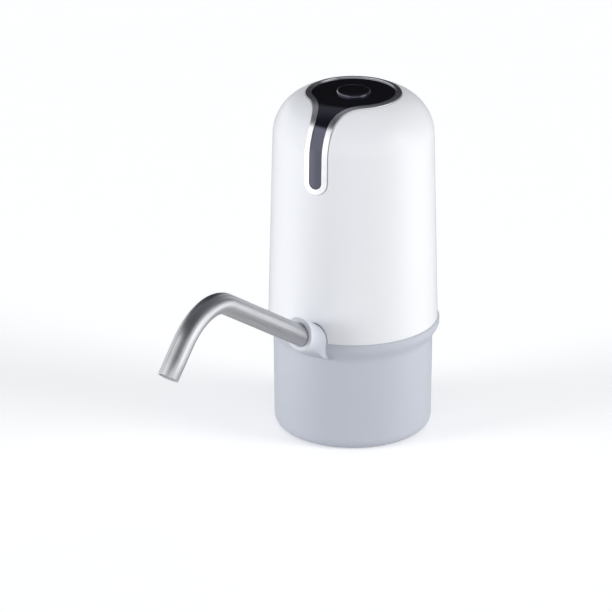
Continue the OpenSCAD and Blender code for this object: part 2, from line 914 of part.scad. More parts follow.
module pump_outline_2d() {
    for (s = [-1, 1])
        translate([s * gear_x, gear_y]) circle(r = pump_r);
    translate([-gear_x, gear_y - pump_r]) square([2 * gear_x, 2 * pump_r]);
    at_pump_screws() circle(r = pump_boss_r);
    at_motor_screws() circle(r = motor_boss_r);
}

// Gear pockets with the inlet behind the mesh and the outlet before it
module pump_room_2d(gap) {
    for (s = [-1, 1])
        translate([s * gear_x, gear_y]) circle(r = pocket_r + gap);
    circle(r = port_r + gap);
    translate([0, 2 * gear_y]) circle(r = port_r + gap);
}

module pump_body() {
    color(resin)
    difference() {
        union() {
            translate([0, 0, z_gear]) linear_extrude(height = z_motor - z_gear) pump_outline_2d();
            translate(motor_at) translate([0, 0, z_motor - 2])
                cylinder(r = motor_r + fit + cup_wall, h = 2 + cup_h);
            translate([0, pump_front + over, z_out]) rotate([90, 0, 0])
                cylinder(r = nipple_r, h = pump_nipple + over);
        }
        translate([-pump_r, pump_front, z_gear - 2 * nipple_r]) cube([2 * pump_r, 2 * over, 2 * nipple_r]);
        translate([0, 0, z_gear - over]) linear_extrude(height = gear_room + over) pump_room_2d(0);
        translate([0, 2 * gear_y, z_out]) rotate([90, 0, 0]) cylinder(r = duct_r, h = 4 * pump_r);
        translate(motor_at) {
            translate([0, 0, z_motor]) cylinder(r = motor_r + fit, h = cup_h + over);
            translate([0, 0, z_motor - seal_t]) cylinder(r = seal_r, h = seal_t + over);
            translate([0, 0, z_roof - over]) cylinder(r = shaft_r + 0.25, h = roof_t + over);
        }
        translate([gear_x, gear_y, z_roof - over]) cylinder(r = pin_r, h = pin_in + over);
        at_pump_screws() translate([0, 0, z_gear - over]) cylinder(r = screw_r + seat, h = 9 + over);
        at_motor_screws() {
            translate([0, 0, z_gear - over]) cylinder(r = motor_screw_r + fit, h = z_motor - z_gear + 2 * over);
            translate([0, 0, z_gear - over]) cylinder(r = 1.95, h = 1.4 + seat + over);
        }
    }
}

module pump_cover() {
    color(resin)
    difference() {
        union() {
            translate([0, 0, z_cover]) linear_extrude(height = cover_t) pump_outline_2d();
            translate([0, 0, z_floor]) cylinder(r = shoulder_r, h = pad_t + over);
            translate([0, 0, z_deck - nut_t - 0.5]) cylinder(r = thread_r, h = nut_t + 0.5 + deck_t + over);
            translate([0, 0, z_deck - stub_l]) cylinder(r = stub_r, h = stub_l);
        }
        translate([0, 0, z_deck - stub_l - over]) cylinder(r = port_r, h = stub_l + 4 * cover_t);
        translate([gear_x, gear_y, z_joint - pin_in]) cylinder(r = pin_r, h = pin_in + over);
        at_pump_screws() {
            translate([0, 0, z_cover - over]) cylinder(r = screw_r + fit, h = cover_t + 2 * over);
            translate([0, 0, z_cover - over]) cylinder(r = 2.3, h = screw_head_h + seat + over);
        }
    }
}

module pump_gasket() {
    color(rubber)
    translate([0, 0, z_joint]) linear_extrude(height = gasket_pump) difference() {
        pump_outline_2d();
        pump_room_2d(0.5);
        at_pump_screws() circle(r = screw_r + fit);
        at_motor_screws() circle(r = 1.6);
    }
}

module pump_screws() {
    color(steel)
    at_pump_screws() translate([0, 0, z_cover + screw_head_h + seat / 2]) difference() {
        screw(screw_r, 2.2, screw_head_h, cover_t + 6);
        drive_slot(2.2, screw_head_h);
    }
}

module shaft_seal() {
    color(rubber)
    translate(motor_at) translate([0, 0, z_motor - seal_t]) tube(seal_r - seat, shaft_r + run, seal_t - seat);
}

// One gear from above with a tooth on the X axis
module gear_2d() {
    rb = gear_m * gear_n / 2 * cos(gear_pa);
    steps = 6;
    top_roll = sqrt(pow(tip_r / rb, 2) - 1) * 180 / PI;
    pitch_lag = tan(gear_pa) * 180 / PI - gear_pa;
    half = 90 / gear_n - backlash / 4 / (gear_m * gear_n / 2) * 180 / PI + pitch_lag;
    flank = [for (i = [0 : steps]) turn2(involute(rb, top_roll * i / steps), -half)];
    foot = root_r * [cos(half), -sin(half)];
    tooth = concat([foot], flank, [for (i = [steps : -1 : 0]) [flank[i][0], -flank[i][1]]], [[foot[0], -foot[1]]]);
    polygon([for (k = [0 : gear_n - 1]) for (p = tooth) turn2(p, 360 * k / gear_n)]);
}

module drive_gear() {
    color(white)
    translate(motor_at) translate([0, 0, z_gear + gear_gap]) linear_extrude(height = gear_t) difference() {
        gear_2d();
        circle(r = shaft_r + 0.02);
    }
}

module driven_gear() {
    color(white)
    translate([gear_x, gear_y, z_gear + gear_gap]) linear_extrude(height = gear_t) difference() {
        rotate(180 + 180 / gear_n) gear_2d();
        circle(r = pin_r + run);
    }
}

module gear_pin() {
    color(steel)
    translate([gear_x, gear_y, z_joint - pin_in + seat])
        cylinder(r = pin_r - 0.01, h = z_roof + 2 * pin_in - z_joint - 2 * seat);
}

module pump_pad() {
    color(rubber)
    translate([0, 0, z_floor]) linear_extrude(height = pad_t) difference() {
        pump_outline_2d();
        circle(r = shoulder_r + fit);
        at_pump_screws() circle(r = 1.4);
    }
}

module inlet_nut() {
    color(white)
    translate([0, 0, z_deck - nut_t]) linear_extrude(height = nut_t) difference() {
        circle(r = nut_r, $fn = 6);
        circle(r = thread_r + seat);
    }
}

// Station along the hose: its centre and the angle of its run above level
function hose_station(i, n) =
    i == 0 ? [[0, hose_start, z_out], 0] :
    i == n ? [hose_turn(spout_tilt) + hose_end_l * [0, -cos(spout_tilt), sin(spout_tilt)], spout_tilt] :
    [hose_turn(spout_tilt * (i - 1) / (n - 2)), spout_tilt * (i - 1) / (n - 2)];
function hose_turn(a) = [0, hose_y - hose_bend * sin(a), z_out + hose_bend * (1 - cos(a))];
function hose_ring(s, r, m) =
    [for (j = [0 : m - 1]) s[0] + r * [cos(360 * j / m), sin(360 * j / m) * sin(s[1]), sin(360 * j / m) * cos(s[1])]];

module outlet_hose() {
    n = 8;
    m = 28;
    inner = hose_in / cos(180 / m);
    k = (n + 1) * m;
    outside = [for (i = [0 : n]) for (p = hose_ring(hose_station(i, n), hose_r, m)) p];
    inside = [for (i = [0 : n]) for (p = hose_ring(hose_station(i, n), inner, m)) p];
    skin = [for (i = [0 : n - 1]) for (j = [0 : m - 1])
        [i * m + j, (i + 1) * m + j, (i + 1) * m + (j + 1) % m, i * m + (j + 1) % m]];
    bore = [for (f = skin) [k + f[3], k + f[2], k + f[1], k + f[0]]];
    ends = [for (j = [0 : m - 1]) each [
        [j, (j + 1) % m, k + (j + 1) % m, k + j],
        [n * m + (j + 1) % m, n * m + j, k + n * m + j, k + n * m + (j + 1) % m]]];
    color(silicone) polyhedron(points = concat(outside, inside), faces = concat(skin, bore, ends), convexity = 6);
}

module hose_clips() {
    color(steel) {
        translate([0, hose_start - 1, z_out]) rotate([90, 0, 0]) tube(hose_r + seat + clip_t, hose_r + seat, clip_w);
        along_spout() translate([0, 0, -socket_len - 0.8 - clip_w])
            tube(hose_r + seat + clip_t, hose_r + seat, clip_w);
    }
}

module spout_seals() {
    color(rubber)
    along_spout()
    for (s = seal_at)
        translate([0, 0, -s]) rotate_extrude() translate([spout_r + run + seal_cord, 0]) circle(r = seal_cord, $fn = 24);
}

// Run of the spout as one rod, with its bend drawn in a hair at the joins
module spout_run(r, extra) {
    lap = 0.3;
    translate([0, 0, -spout_in - extra]) cylinder(r = r, h = spout_in + extra + spout_l + lap);
    translate([0, -bend_r, spout_l]) rotate([90, 0, 90]) rotate_extrude(angle = bend_angle)
        translate([bend_r, 0]) circle(r = r - bend_draw);
    translate([0, -bend_r * (1 - cos(bend_angle)), spout_l + bend_r * sin(bend_angle)])
        rotate([bend_angle, 0, 0]) translate([0, 0, -lap]) cylinder(r = r, h = lap + tip_l + extra);
}

module spout_tube() {
    color(steel)
    along_spout() rotate([0, 0, spout_turn]) difference() {
        spout_run(spout_r, 0);
        spout_run(spout_bore, over);
    }
}

base_shell();
jug_collar();
shell_gasket();
upper_shell();
shell_screws();
panel_trim();
top_panel();
button_cap();
main_board();
board_screws();
switch_body();
switch_plunger();
board_parts();
status_lamp();
charge_socket();
battery_cell();
battery_cradle();
cradle_screws();
battery_tabs();
battery_leads();
motor_can();
motor_cap();
motor_magnets();
motor_bushes();
motor_brushes();
motor_terminals();
motor_leads();
motor_shaft();
armature_core();
armature_windings();
commutator();
motor_screws();
pump_body();
pump_cover();
pump_gasket();
pump_screws();
shaft_seal();
drive_gear();
driven_gear();
gear_pin();
pump_pad();
inlet_nut();
outlet_hose();
hose_clips();
spout_seals();
spout_tube();
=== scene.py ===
import math

import bmesh
import bpy
from mathutils import Matrix, Vector


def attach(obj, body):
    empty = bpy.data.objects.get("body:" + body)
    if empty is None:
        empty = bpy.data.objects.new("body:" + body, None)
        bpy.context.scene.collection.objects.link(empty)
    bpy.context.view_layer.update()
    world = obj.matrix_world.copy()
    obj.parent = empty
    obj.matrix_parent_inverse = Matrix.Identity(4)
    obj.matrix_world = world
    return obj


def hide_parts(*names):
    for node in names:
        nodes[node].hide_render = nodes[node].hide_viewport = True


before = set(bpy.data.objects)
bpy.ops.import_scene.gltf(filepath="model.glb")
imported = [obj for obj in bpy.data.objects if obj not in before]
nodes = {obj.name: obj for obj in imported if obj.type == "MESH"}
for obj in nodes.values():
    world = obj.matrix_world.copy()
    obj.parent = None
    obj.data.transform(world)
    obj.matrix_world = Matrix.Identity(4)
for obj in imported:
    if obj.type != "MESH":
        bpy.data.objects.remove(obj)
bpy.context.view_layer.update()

scene = bpy.context.scene
scene.view_settings.view_transform = "Standard"
mm = 0.001
tiny = 1e-6  # metres within which two points are one
print("frame loaded:", len(nodes), "nodes")


# direction from the object towards a lamp or the camera, azimuth 0 in front
def towards(azimuth, elevation):
    a, e = math.radians(azimuth), math.radians(elevation)
    return Vector((math.sin(a) * math.cos(e), -math.cos(a) * math.cos(e), math.sin(e)))


# turns a lamp or the camera to look back along that direction
def lookBack(piece, direction):
    piece.rotation_mode = "QUATERNION"
    piece.rotation_quaternion = (-direction).to_track_quat("-Z", "Y")


# distance in metres, and in millimetres the point that the camera aims at
photoView = {
    "azimuth": 28.0, "elevation": 22.0, "distance": 3.0, "sensor": 36.0, "lens": 371.5, "clipEnd": 60.0,
    "height": 80.0, "left": 22.4, "down": 19.3}


def addCamera(view):
    back = towards(view["azimuth"], view["elevation"])
    right = Vector((0, 0, 1)).cross(back).normalized()
    up = back.cross(right)
    data = bpy.data.cameras.new("photoCamera")
    data.sensor_width = view["sensor"]
    data.lens = view["lens"]
    data.clip_end = view["clipEnd"]
    camera = bpy.data.objects.new("photoCamera", data)
    aim = (Vector((0, 0, view["height"])) - right * view["left"] - up * view["down"]) * mm
    camera.location = aim + back * view["distance"]
    lookBack(camera, back)
    scene.collection.objects.link(camera)
    scene.camera = camera


addCamera(photoView)
print("camera set")


# node helpers, for the finishes and for the studio
def noiseAt(tree, vector, scale, detail, rough):
    noise = tree.nodes.new("ShaderNodeTexNoise")
    noise.inputs["Detail"].default_value = detail
    noise.inputs["Roughness"].default_value = rough
    if isinstance(scale, float):
        noise.inputs["Scale"].default_value = scale
    else:
        tree.links.new(scale, noise.inputs["Scale"])
    tree.links.new(vector, noise.inputs["Vector"])
    return noise.outputs["Fac"]


def mathOn(tree, operation, a, b, clamp=False):
    node = tree.nodes.new("ShaderNodeMath")
    node.operation = operation
    node.use_clamp = clamp
    for socket, value in zip(node.inputs, (a, b)):
        if isinstance(value, (int, float)):
            socket.default_value = value
        else:
            tree.links.new(value, socket)
    return node.outputs[0]


def spread(tree, value, fromLow, fromHigh, toLow=0.0, toHigh=1.0):
    node = tree.nodes.new("ShaderNodeMapRange")
    ends = {"From Min": fromLow, "From Max": fromHigh, "To Min": toLow, "To Max": toHigh}
    for name, number in ends.items():
        node.inputs[name].default_value = number
    tree.links.new(value, node.inputs["Value"])
    return node.outputs["Result"]


def dotWith(tree, vector, fixed):
    node = tree.nodes.new("ShaderNodeVectorMath")
    node.operation = "DOT_PRODUCT"
    tree.links.new(vector, node.inputs[0])
    node.inputs[1].default_value = fixed
    return node.outputs["Value"]


def opaque(color):
    return tuple(color) + (1.0,)


def mixColor(tree, factor, a, b):
    node = tree.nodes.new("ShaderNodeMix")
    node.data_type = "RGBA"
    tree.links.new(factor, node.inputs["Factor"])
    ends = [s for s in node.inputs if s.type == "RGBA"]
    for socket, value in zip(ends, (a, b)):
        if isinstance(value, tuple):
            socket.default_value = opaque(value)
        else:
            tree.links.new(value, socket)
    return [s for s in node.outputs if s.type == "RGBA"][0]


def objectVector(tree):
    return tree.nodes.new("ShaderNodeTexCoord").outputs["Object"]


# both groups put out a colour, a roughness and a height
def newGroup(name, inputs):
    tree = bpy.data.node_groups.new(name, "ShaderNodeTree")
    outputs = {"Color": "Color", "Roughness": "Float", "Height": "Float"}
    for side, sockets in (("INPUT", inputs), ("OUTPUT", outputs)):
        for socket, kind in sockets.items():
            tree.interface.new_socket(name=socket, in_out=side, socket_type="NodeSocket" + kind)
    return tree, tree.nodes.new("NodeGroupInput"), tree.nodes.new("NodeGroupOutput")


def putOut(tree, out, color, rough, height):
    for socket, value in (("Color", color), ("Roughness", rough), ("Height", height)):
        tree.links.new(value, out.inputs[socket])


# roughness that swings both ways with a noise
def unevenGloss(tree, inn, noise):
    swing = mathOn(tree, "MULTIPLY", mathOn(tree, "SUBTRACT", noise, 0.5), 2.0)
    swing = mathOn(tree, "MULTIPLY", swing, inn.outputs["Uneven"])
    return mathOn(tree, "ADD", inn.outputs["Roughness"], swing, clamp=True)


grainNoise = {
    "slow": {"scale": 16.0, "detail": 3.0, "rough": 0.5}, "driftFrom": 0.35, "driftTo": 0.7,
    "smear": {"scale": 70.0, "detail": 4.0, "rough": 0.6}, "fine": {"detail": 2.0, "rough": 0.55}}


# moulded plastic and rubber: fine spark grain, a slow drift of colour, uneven gloss
def buildGrain(noise):
    tree, inn, out = newGroup("mouldedGrain", {
        "Vector": "Vector", "Color": "Color", "Drift": "Color",
        "Roughness": "Float", "Uneven": "Float", "Grain": "Float"})
    vector = inn.outputs["Vector"]
    slow = noiseAt(tree, vector, **noise["slow"])
    smear = noiseAt(tree, vector, **noise["smear"])
    fine = noiseAt(tree, vector, inn.outputs["Grain"], **noise["fine"])
    drift = spread(tree, slow, noise["driftFrom"], noise["driftTo"])
    color = mixColor(tree, drift, inn.outputs["Color"], inn.outputs["Drift"])
    putOut(tree, out, color, unevenGloss(tree, inn, smear), fine)
    return tree


brushNoise = {
    "hair": {"scale": 1.0, "detail": 3.0, "rough": 0.65}, "band": {"scale": 0.22, "detail": 2.0, "rough": 0.5},
    "toneFrom": 0.35, "toneTo": 0.65}


# drawn or brushed metal: hairlines along the stretched axis of the vector
def buildBrush(noise):
    tree, inn, out = newGroup("brushedLines", {
        "Vector": "Vector", "Color": "Color", "Dark": "Color", "Roughness": "Float", "Uneven": "Float"})
    vector = inn.outputs["Vector"]
    hair = noiseAt(tree, vector, **noise["hair"])
    band = noiseAt(tree, vector, **noise["band"])
    both = mathOn(tree, "MULTIPLY", mathOn(tree, "ADD", hair, band), 0.5)
    tone = spread(tree, both, noise["toneFrom"], noise["toneTo"])
    color = mixColor(tree, tone, inn.outputs["Color"], inn.outputs["Dark"])
    putOut(tree, out, color, unevenGloss(tree, inn, both), hair)
    return tree


grainGroup = buildGrain(grainNoise)
brushGroup = buildBrush(brushNoise)
grainDepth = 0.00005
hairDepth = 0.00002
edgeSamples = 6


def startMaterial(name, plain):
    material = bpy.data.materials.new(name)
    material.use_nodes = True
    tree = material.node_tree
    shader = tree.nodes["Principled BSDF"]
    for socket, value in plain.items():
        shader.inputs[socket].default_value = value
    return material, tree, shader


def stretched(tree, vector, scale):
    mapping = tree.nodes.new("ShaderNodeMapping")
    mapping.inputs["Scale"].default_value = scale
    tree.links.new(vector, mapping.inputs["Vector"])
    return mapping.outputs["Vector"]


def placeGroup(tree, group, vector, values):
    node = tree.nodes.new("ShaderNodeGroup")
    node.node_tree = group
    tree.links.new(vector, node.inputs["Vector"])
    for socket, value in values.items():
        node.inputs[socket].default_value = opaque(value) if isinstance(value, tuple) else value
    return node


# bump from a height, on edges that look rounded where the finish gives a radius
def bumpFrom(tree, shader, height, finish, depth):
    bump = tree.nodes.new("ShaderNodeBump")
    bump.inputs["Strength"].default_value = finish["bump"]
    bump.inputs["Distance"].default_value = depth
    tree.links.new(height, bump.inputs["Height"])
    tree.links.new(bump.outputs["Normal"], shader.inputs["Normal"])
    if "edge" in finish:
        bevel = tree.nodes.new("ShaderNodeBevel")
        bevel.samples = edgeSamples
        bevel.inputs["Radius"].default_value = finish["edge"]
        tree.links.new(bevel.outputs["Normal"], bump.inputs["Normal"])


def moulded(name, finish):
    material, tree, shader = startMaterial(name, finish["plain"])
    group = placeGroup(tree, grainGroup, objectVector(tree), finish["grain"])
    color = group.outputs["Color"]
    if "paintedFrontLight" in finish:  # painted light: the front of the part, the boss and its ring, painted paler where it falls in shade
        reach = dotWith(tree, objectVector(tree), towards(0, 0))
        share = spread(tree, reach, finish["paintedFrontLight"]["from"], finish["paintedFrontLight"]["to"])
        color = mixColor(tree, mathOn(tree, "MULTIPLY", share, share), color, finish["paintedFrontLight"]["color"])
    tree.links.new(color, shader.inputs["Base Color"])
    tree.links.new(group.outputs["Roughness"], shader.inputs["Roughness"])
    bumpFrom(tree, shader, group.outputs["Height"], finish, grainDepth)
    return material


def brushed(name, finish):
    material, tree, shader = startMaterial(name, finish["plain"])
    if "attribute" in finish:
        reader = tree.nodes.new("ShaderNodeAttribute")
        reader.attribute_name = finish["attribute"]
        vector = reader.outputs["Vector"]
    else:
        vector = objectVector(tree)
    group = placeGroup(tree, brushGroup, stretched(tree, vector, finish["stretch"]), finish["lines"])
    tree.links.new(group.outputs["Color"], shader.inputs["Base Color"])
    tree.links.new(group.outputs["Roughness"], shader.inputs["Roughness"])
    bumpFrom(tree, shader, group.outputs["Height"], finish, hairDepth)
    return material


# solder resist over copper tracks: the tracks stand a little and show lighter
def tracked(name, finish):
    material, tree, shader = startMaterial(name, finish["plain"])
    vector = objectVector(tree)
    group = placeGroup(tree, grainGroup, vector, finish["grain"])
    cells = tree.nodes.new("ShaderNodeTexVoronoi")
    cells.feature = "DISTANCE_TO_EDGE"
    cells.inputs["Scale"].default_value = finish["cell"]
    tree.links.new(vector, cells.inputs["Vector"])
    track = spread(tree, cells.outputs["Distance"], finish["width"], finish["fade"], 1.0, 0.0)
    color = mixColor(tree, track, group.outputs["Color"], finish["track"])
    tree.links.new(color, shader.inputs["Base Color"])
    tree.links.new(group.outputs["Roughness"], shader.inputs["Roughness"])
    bumpFrom(tree, shader, track, finish, grainDepth)
    return material


whiteFinish = {
    "plain": {"IOR": 1.5, "Coat Weight": 0.1, "Coat Roughness": 0.15},
    "grain": {"Color": (0.86, 0.868, 0.89), "Drift": (0.845, 0.855, 0.885),
        "Roughness": 0.34, "Uneven": 0.05, "Grain": 1500.0},
    "bump": 0.05, "edge": 0.0004}
greyFinish = {
    "plain": {"IOR": 1.5},
    "grain": {"Color": (0.54, 0.563, 0.624), "Drift": (0.522, 0.547, 0.611),
        "Roughness": 0.44, "Uneven": 0.06, "Grain": 2200.0},
    # painted light: a paler colour towards the front, lifting the shaded front of the boss
    "paintedFrontLight": {"from": 0.0415, "to": 0.0548, "color": (0.73, 0.75, 0.8)}, "bump": 0.12}
blackFinish = {
    "plain": {"IOR": 1.94, "Specular Tint": (0.66, 0.7, 1.0, 1.0), "Coat Weight": 0.7, "Coat Roughness": 0.04},
    "grain": {"Color": (0.004, 0.004, 0.005), "Drift": (0.006, 0.006, 0.008),
        "Roughness": 0.1, "Uneven": 0.03, "Grain": 600.0},
    "bump": 0.01}
rubberFinish = {
    "plain": {"IOR": 1.5},
    "grain": {"Color": (0.022, 0.022, 0.024), "Drift": (0.032, 0.032, 0.034),
        "Roughness": 0.72, "Uneven": 0.08, "Grain": 3000.0},
    "bump": 0.3}
siliconeFinish = {
    "plain": {"IOR": 1.42, "Subsurface Weight": 0.15, "Subsurface Radius": (0.002, 0.002, 0.002)},
    "grain": {"Color": (0.74, 0.75, 0.755), "Drift": (0.7, 0.715, 0.725),
        "Roughness": 0.56, "Uneven": 0.08, "Grain": 1700.0},
    "bump": 0.15}
darkResinFinish = {
    "plain": {"IOR": 1.5},
    "grain": {"Color": (0.055, 0.06, 0.07), "Drift": (0.07, 0.075, 0.085),
        "Roughness": 0.5, "Uneven": 0.08, "Grain": 1300.0},
    "bump": 0.25}
whiteResinFinish = {
    "plain": {"IOR": 1.5},
    "grain": {"Color": (0.78, 0.78, 0.755), "Drift": (0.74, 0.74, 0.71),
        "Roughness": 0.46, "Uneven": 0.08, "Grain": 1300.0},
    "bump": 0.2}
redLeadFinish = {
    "plain": {"IOR": 1.5},
    "grain": {"Color": (0.42, 0.022, 0.015), "Drift": (0.5, 0.03, 0.02),
        "Roughness": 0.42, "Uneven": 0.08, "Grain": 900.0},
    "bump": 0.15}
blackLeadFinish = {
    "plain": {"IOR": 1.5},
    "grain": {"Color": (0.016, 0.016, 0.018), "Drift": (0.024, 0.024, 0.026),
        "Roughness": 0.45, "Uneven": 0.08, "Grain": 900.0},
    "bump": 0.15}
magnetFinish = {
    "plain": {"IOR": 1.7},
    "grain": {"Color": (0.07, 0.07, 0.075), "Drift": (0.1, 0.1, 0.105),
        "Roughness": 0.62, "Uneven": 0.12, "Grain": 2600.0},
    "bump": 0.5}
wrapFinish = {
    "plain": {"IOR": 1.5, "Coat Weight": 0.7, "Coat Roughness": 0.08},
    "grain": {"Color": (0.016, 0.085, 0.3), "Drift": (0.02, 0.1, 0.36),
        "Roughness": 0.3, "Uneven": 0.1, "Grain": 240.0},
    "bump": 0.2}
lensFinish = {
    "plain": {"IOR": 1.46, "Transmission Weight": 0.55},
    "grain": {"Color": (0.72, 0.83, 0.98), "Drift": (0.66, 0.79, 0.97),
        "Roughness": 0.32, "Uneven": 0.08, "Grain": 2600.0},
    "bump": 0.2}
boardFinish = {
    "plain": {"IOR": 1.5, "Coat Weight": 0.5, "Coat Roughness": 0.15},
    "grain": {"Color": (0.012, 0.12, 0.042), "Drift": (0.016, 0.14, 0.05),
        "Roughness": 0.36, "Uneven": 0.06, "Grain": 1200.0},
    "track": (0.04, 0.27, 0.1), "cell": 330.0, "width": 0.07, "fade": 0.098, "bump": 0.3}

trimFinish = {
    "plain": {"Metallic": 0.95},
    "lines": {"Color": (0.86, 0.86, 0.885), "Dark": (0.82, 0.82, 0.85), "Roughness": 0.24, "Uneven": 0.05},
    "stretch": (900, 900, 900), "bump": 0.02, "edge": 0.0003}
tubeFinish = {
    "plain": {"Metallic": 1.0, "Anisotropic": 0.35},
    "lines": {"Color": (0.7, 0.706, 0.73), "Dark": (0.42, 0.425, 0.448), "Roughness": 0.4, "Uneven": 0.3},
    "stretch": (2600, 2600, 30), "bump": 0.04, "attribute": "brushLay"}
steelFinish = {
    "plain": {"Metallic": 1.0},
    "lines": {"Color": (0.56, 0.565, 0.58), "Dark": (0.47, 0.475, 0.49), "Roughness": 0.34, "Uneven": 0.14},
    "stretch": (700, 700, 4200), "bump": 0.12}
brassFinish = {
    "plain": {"Metallic": 1.0},
    "lines": {"Color": (0.72, 0.52, 0.23), "Dark": (0.6, 0.41, 0.17), "Roughness": 0.3, "Uneven": 0.14},
    "stretch": (900, 900, 5200), "bump": 0.12}
copperFinish = {
    "plain": {"Metallic": 1.0, "Coat Weight": 0.6, "Coat Roughness": 0.15},
    "lines": {"Color": (0.66, 0.27, 0.12), "Dark": (0.3, 0.09, 0.035), "Roughness": 0.3, "Uneven": 0.2},
    "stretch": (2600, 2600, 260), "bump": 0.9}
laminationFinish = {
    "plain": {"Metallic": 1.0},
    "lines": {"Color": (0.36, 0.36, 0.38), "Dark": (0.16, 0.16, 0.17), "Roughness": 0.42, "Uneven": 0.2},
    "stretch": (60, 60, 3600), "bump": 0.9}

# by the record's material slots
finishOf = {
    "white_plastic": moulded("whiteShellPlastic", whiteFinish),
    "grey_plastic": moulded("greyBasePlastic", greyFinish),
    "black_gloss": moulded("blackPanelGloss", blackFinish),
    "rubber": moulded("sealRubber", rubberFinish),
    "silicone": moulded("collarSilicone", siliconeFinish),
    "dark_resin": moulded("pumpResin", darkResinFinish),
    "white_resin": moulded("gearResin", whiteResinFinish),
    "red_lead": moulded("redLeadCover", redLeadFinish),
    "black_lead": moulded("blackLeadCover", blackLeadFinish),
    "magnet": moulded("sinteredMagnet", magnetFinish),
    "battery_wrap": moulded("cellWrap", wrapFinish),
    "lamp_lens": moulded("lampLens", lensFinish),
    "circuit_board": tracked("boardResist", boardFinish),
    "satin_chrome": brushed("trimChrome", trimFinish),
    "steel_tube": brushed("spoutSteel", tubeFinish),
    "steel": brushed("screwSteel", steelFinish),
    "brass": brushed("turnedBrass", brassFinish),
    "copper": brushed("enamelledCopper", copperFinish),
    "lamination": brushed("laminatedCore", laminationFinish)}
print("finishes made:", len(finishOf))

for piece in nodes.values():
    for i, old in enumerate(piece.data.materials):
        piece.data.materials[i] = finishOf[old.name.split(".")[0]]
print("CAD nodes dressed")

crispAngle = 0.7  # radians from which a corner stays crisp


def addPiece(name, bm, slot, body, node=None):
    for face in bm.faces:
        face.smooth = True
    for edge in bm.edges:
        edge.smooth = edge.calc_face_angle(0) < crispAngle
    mesh = bpy.data.meshes.new(name)
    bm.to_mesh(mesh)
    bm.free()
    mesh.materials.append(finishOf[slot])
    piece = bpy.data.objects.new(name, mesh)
    scene.collection.objects.link(piece)
    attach(piece, body)
    if node:
        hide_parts(node)


def edgesIn(geometry):
    return [e for e in geometry if isinstance(e, bmesh.types.BMEdge)]


# points in millimetres, joined in a row or a ring
def drawn(bm, points, closed=True):
    chain = [bm.verts.new(Vector(point) * mm) for point in points]
    following = chain[1:] + chain[:1] if closed else chain[1:]
    return chain, [bm.edges.new(pair) for pair in zip(chain, following)]


def closeUp(bm):
    bmesh.ops.remove_doubles(bm, verts=bm.verts, dist=tiny)
    bmesh.ops.recalc_face_normals(bm, faces=bm.faces)


# piece turned about the z axis from its outline, a list of radius and height
def turned(outline, steps, closed=True):
    bm = bmesh.new()
    chain, edges = drawn(bm, [(r, 0, z) for r, z in outline], closed)
    bmesh.ops.spin(bm, geom=chain + edges, cent=(0, 0, 0), axis=(0, 0, 1), angle=2 * math.pi, steps=steps,
        use_merge=True, use_duplicate=False)
    closeUp(bm)
    return bm


# edges of the circle at a radius and height of a turned piece
def ringEdges(bm, r, z):
    on = {v for v in bm.verts
        if abs(math.hypot(v.co.x, v.co.y) - r * mm) < tiny and abs(v.co.z - z * mm) < tiny}
    return [e for e in bm.edges if all(v in on for v in e.verts)]


def softened(bm, edges, offset, segments):
    bmesh.ops.bevel(bm, geom=edges, offset=offset * mm, offset_type="OFFSET", segments=segments, profile=0.5,
        affect="EDGES", material=-1)


# the tube stands on the z axis with its bend up, until it is put in its socket
spoutShape = {
    "radius": 5.0, "wall": 0.8, "inside": 20.0, "straight": 81.0, "bendRadius": 28.0, "bend": 81.5, "tip": 17.5,
    "reach": 54.7, "height": 64.0, "tilt": 30.0, "turn": -7.0, "lip": 0.2,
    "segments": 64, "straightSteps": 6, "bendSteps": 36, "tipSteps": 2, "lipSegments": 3}


def socketPlace(spout):
    mouth = Vector((0, -spout["reach"], spout["height"])) * mm
    return Matrix.Translation(mouth) @ Matrix.Rotation(math.radians(90 - spout["tilt"]), 4, "X")


# edges of the open end after an extrusion, moved along
def pulled(bm, edges, vector):
    made = bmesh.ops.extrude_edge_only(bm, edges=edges)["geom"]
    bmesh.ops.translate(bm, verts=[v for v in made if isinstance(v, bmesh.types.BMVert)], vec=vector)
    return [e for e in edgesIn(made) if e.is_boundary]


# place of a point round and along the tube, for the brushing
def alongSpout(point, shape):
    straight, radius = shape["straight"] * mm, shape["bendRadius"] * mm
    if point.z <= straight:
        return point.copy()
    turn = math.atan2(point.z - straight, point.y + radius)
    reach = math.hypot(point.z - straight, point.y + radius)
    bent = min(turn, math.radians(shape["bend"]))
    side = reach * math.cos(turn - bent) - radius
    return Vector((point.x, side, straight + radius * bent + reach * math.sin(turn - bent)))


